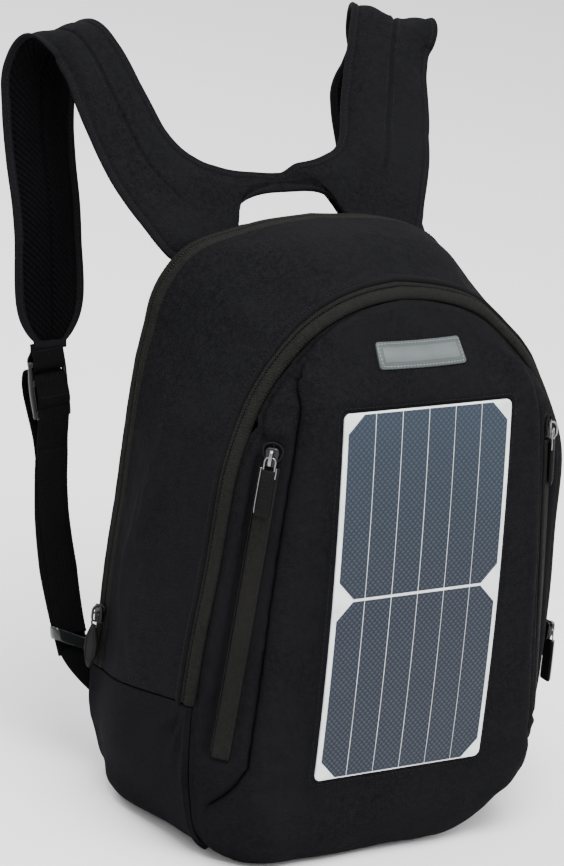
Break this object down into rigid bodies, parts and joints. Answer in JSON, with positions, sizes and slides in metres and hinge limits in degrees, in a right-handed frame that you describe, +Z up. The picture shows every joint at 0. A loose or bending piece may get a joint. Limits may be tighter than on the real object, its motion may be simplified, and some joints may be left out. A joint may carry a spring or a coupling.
{
  "type": "solar backpack",
  "caption": "Soft daypack with a photovoltaic laminate on its front compartment, zipped main and side compartments, a yoke handle and padded adjustable shoulder straps.",
  "frame": {"origin": "middle of the flat bottom, on the floor it stands on", "axes": "+Z up, -Y out of the solar face, +X to the right seen from the solar face"},
  "size_m": [0.3648, 0.3316, 0.5127],
  "materials": {
    "shell_cloth": "coated plain-weave polyester, low sheen",
    "lining_cloth": "thin woven lining",
    "mesh_cloth": "three-dimensional spacer mesh",
    "zip_tape": "coated zip tape",
    "webbing": "ribbed polypropylene webbing",
    "zip_metal": "die-cast zinc, satin nickel",
    "buckle_plastic": "moulded acetal, semi-gloss",
    "pull_rubber": "matt moulded rubber",
    "patch_rubber": "matt rubber with a stitched border",
    "stiffener_board": "polyethylene board",
    "backsheet_white": "satin laminate backsheet",
    "silicon_cell": "monocrystalline silicon under laminate",
    "cover_film": "embossed clear fluoropolymer film",
    "box_plastic": "moulded polycarbonate",
    "socket_steel": "nickel-plated shell"
  },
  "bodies": {
    "pack": {"base_panel": "shell_cloth", "side_panel_left": "shell_cloth", "side_panel_right": "shell_cloth", "top_panel": "shell_cloth", "outer_piping": "shell_cloth", "divider_panel": "lining_cloth", "organizer_pocket": "mesh_cloth", "charge_regulator": "box_plastic", "usb_socket": "socket_steel", "main_zip_front_tape": "zip_tape", "front_zip_back_tape": "zip_tape", "base_board": "stiffener_board"},
    "front_flap": {"front_panel": "shell_cloth", "side_pocket_left": "shell_cloth", "side_pocket_right": "shell_cloth", "front_zip_front_tape": "zip_tape", "side_zip_tape_left": "zip_tape", "side_zip_tape_right": "zip_tape", "solar_backsheet": "backsheet_white", "solar_cell_upper": "silicon_cell", "solar_cell_lower": "silicon_cell", "solar_cover_film": "cover_film", "solar_junction_box": "box_plastic", "label_patch": "patch_rubber", "panel_stiffener": "stiffener_board"},
    "back_flap": {"back_panel": "shell_cloth", "main_zip_back_tape": "zip_tape", "frame_sheet": "stiffener_board", "laptop_sleeve": "lining_cloth", "back_pad_left": "mesh_cloth", "back_pad_right": "mesh_cloth", "lumbar_pad": "mesh_cloth", "yoke": "shell_cloth", "anchor_tab_left": "shell_cloth", "anchor_tab_right": "shell_cloth", "webbing_lower_left": "webbing", "webbing_lower_right": "webbing"},
    "strap_left": {"strap_pad_left": "shell_cloth", "strap_tab_left": "webbing"},
    "lock_left": {"ladder_lock_left": "buckle_plastic", "webbing_upper_left": "webbing"},
    "keeper_slide_left": {"keeper_left": "buckle_plastic"},
    "side_slider_left": {"side_zip_left_slider": "zip_metal"},
    "side_pull_left": {"side_zip_left_pull": "pull_rubber"},
    "strap_right": {"strap_pad_right": "shell_cloth", "strap_tab_right": "webbing"},
    "lock_right": {"ladder_lock_right": "buckle_plastic", "webbing_upper_right": "webbing"},
    "keeper_slide_right": {"keeper_right": "buckle_plastic"},
    "side_slider_right": {"side_zip_right_slider": "zip_metal"},
    "side_pull_right": {"side_zip_right_pull": "pull_rubber"},
    "main_slider": {"main_zip_slider": "zip_metal"},
    "main_pull": {"main_zip_pull": "pull_rubber"},
    "front_slider": {"front_zip_slider": "zip_metal"},
    "front_pull": {"front_zip_pull": "pull_rubber"}
  },
  "joints": [
    {"name": "front_flap_fold", "type": "hinge", "parent": "pack", "child": "front_flap", "pos_m": [0, -0.106, 0.057], "axis": [1, 0, 0], "range_deg": [0, 40]},
    {"name": "back_flap_fold", "type": "hinge", "parent": "pack", "child": "back_flap", "pos_m": [0, 0.0885, 0.0713], "axis": [-1, 0, 0], "range_deg": [0, 60]},
    {"name": "strap_swing_left", "type": "hinge", "parent": "back_flap", "child": "strap_left", "pos_m": [-0.101, 0.14517, 0.44916], "axis": [1, 0, 0], "range_deg": [-12, 10]},
    {"name": "lock_tilt_left", "type": "hinge", "parent": "strap_left", "child": "lock_left", "pos_m": [-0.15664, 0.14903, 0.28734], "axis": [0.9956, 0, 0.094], "range_deg": [-5, 25]},
    {"name": "keeper_slide_left", "type": "slide", "parent": "back_flap", "child": "keeper_slide_left", "axis": [-0.091, 0.2516, 0.9635], "range_m": [0, 0.06]},
    {"name": "side_zip_slide_left", "type": "slide", "parent": "front_flap", "child": "side_slider_left", "axis": [-0.0833, -0.0451, -0.9955], "range_m": [0, 0.17]},
    {"name": "side_pull_swing_left", "type": "hinge", "parent": "side_slider_left", "child": "side_pull_left", "pos_m": [-0.11577, -0.0748, 0.29236], "axis": [-0.6917, 0.7218, 0.0252], "range_deg": [0, 120]},
    {"name": "strap_swing_right", "type": "hinge", "parent": "back_flap", "child": "strap_right", "pos_m": [0.101, 0.14517, 0.44916], "axis": [1, 0, 0], "range_deg": [-12, 10]},
    {"name": "lock_tilt_right", "type": "hinge", "parent": "strap_right", "child": "lock_right", "pos_m": [0.15664, 0.14903, 0.28734], "axis": [0.9956, 0, -0.094], "range_deg": [-5, 25]},
    {"name": "keeper_slide_right", "type": "slide", "parent": "back_flap", "child": "keeper_slide_right", "axis": [0.091, 0.2516, 0.9635], "range_m": [0, 0.06]},
    {"name": "side_zip_slide_right", "type": "slide", "parent": "front_flap", "child": "side_slider_right", "axis": [0.0833, -0.0451, -0.9955], "range_m": [0, 0.17]},
    {"name": "side_pull_swing_right", "type": "hinge", "parent": "side_slider_right", "child": "side_pull_right", "pos_m": [0.11577, -0.0748, 0.29236], "axis": [-0.6917, -0.7218, -0.0252], "range_deg": [0, 120]},
    {"name": "main_zip_slide", "type": "slide", "parent": "pack", "child": "main_slider", "axis": [0.0372, 0, 0.9993], "range_m": [0, 0.165]},
    {"name": "main_pull_swing", "type": "hinge", "parent": "main_slider", "child": "main_pull", "pos_m": [-0.1442, 0.069, 0.12817], "axis": [0, 1, 0], "range_deg": [0, 120]},
    {"name": "front_zip_slide", "type": "slide", "parent": "pack", "child": "front_slider", "axis": [-0.0461, 0, 0.9989], "range_m": [0, 0.075]},
    {"name": "front_pull_swing", "type": "hinge", "parent": "front_slider", "child": "front_pull", "pos_m": [0.15419, -0.0596, 0.13221], "axis": [0, -1, 0], "range_deg": [0, 120]}
  ]
}
